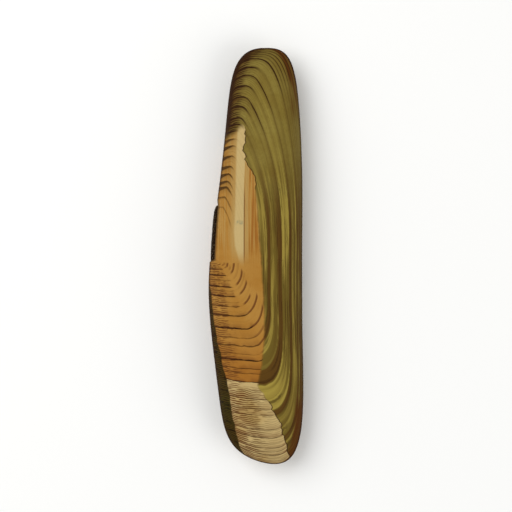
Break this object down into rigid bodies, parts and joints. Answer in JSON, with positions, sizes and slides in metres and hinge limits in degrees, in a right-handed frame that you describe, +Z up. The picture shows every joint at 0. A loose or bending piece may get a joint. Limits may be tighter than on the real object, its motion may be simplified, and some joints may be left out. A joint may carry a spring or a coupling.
{
  "type": "razor-shaped mussel shell",
  "caption": "Long, razor-shaped bivalve shell, closed and lying on its side: a pair of thin ridged valves joined along the back by a dark ligament.",
  "frame": {"origin": "under the middle of the shell's box, on the plane that it lies on", "axes": "+Y along the shell towards the rounded posterior end, -X towards the hinge edge and ligament, +Z up out of the left valve"},
  "size_m": [0.0274, 0.12, 0.0155],
  "materials": {
    "left_valve_skin": "shell lime under a thin olive to brown skin, worn to orange tan and cream, satin",
    "right_valve_skin": "shell lime under a thin olive to brown skin, worn to orange tan and cream, satin",
    "ligament": "dark brown horny cord with fine pale flecks"
  },
  "bodies": {
    "root": {"left_valve": "left_valve_skin", "right_valve": "right_valve_skin", "ligament": "ligament"}
  },
  "joints": []
}
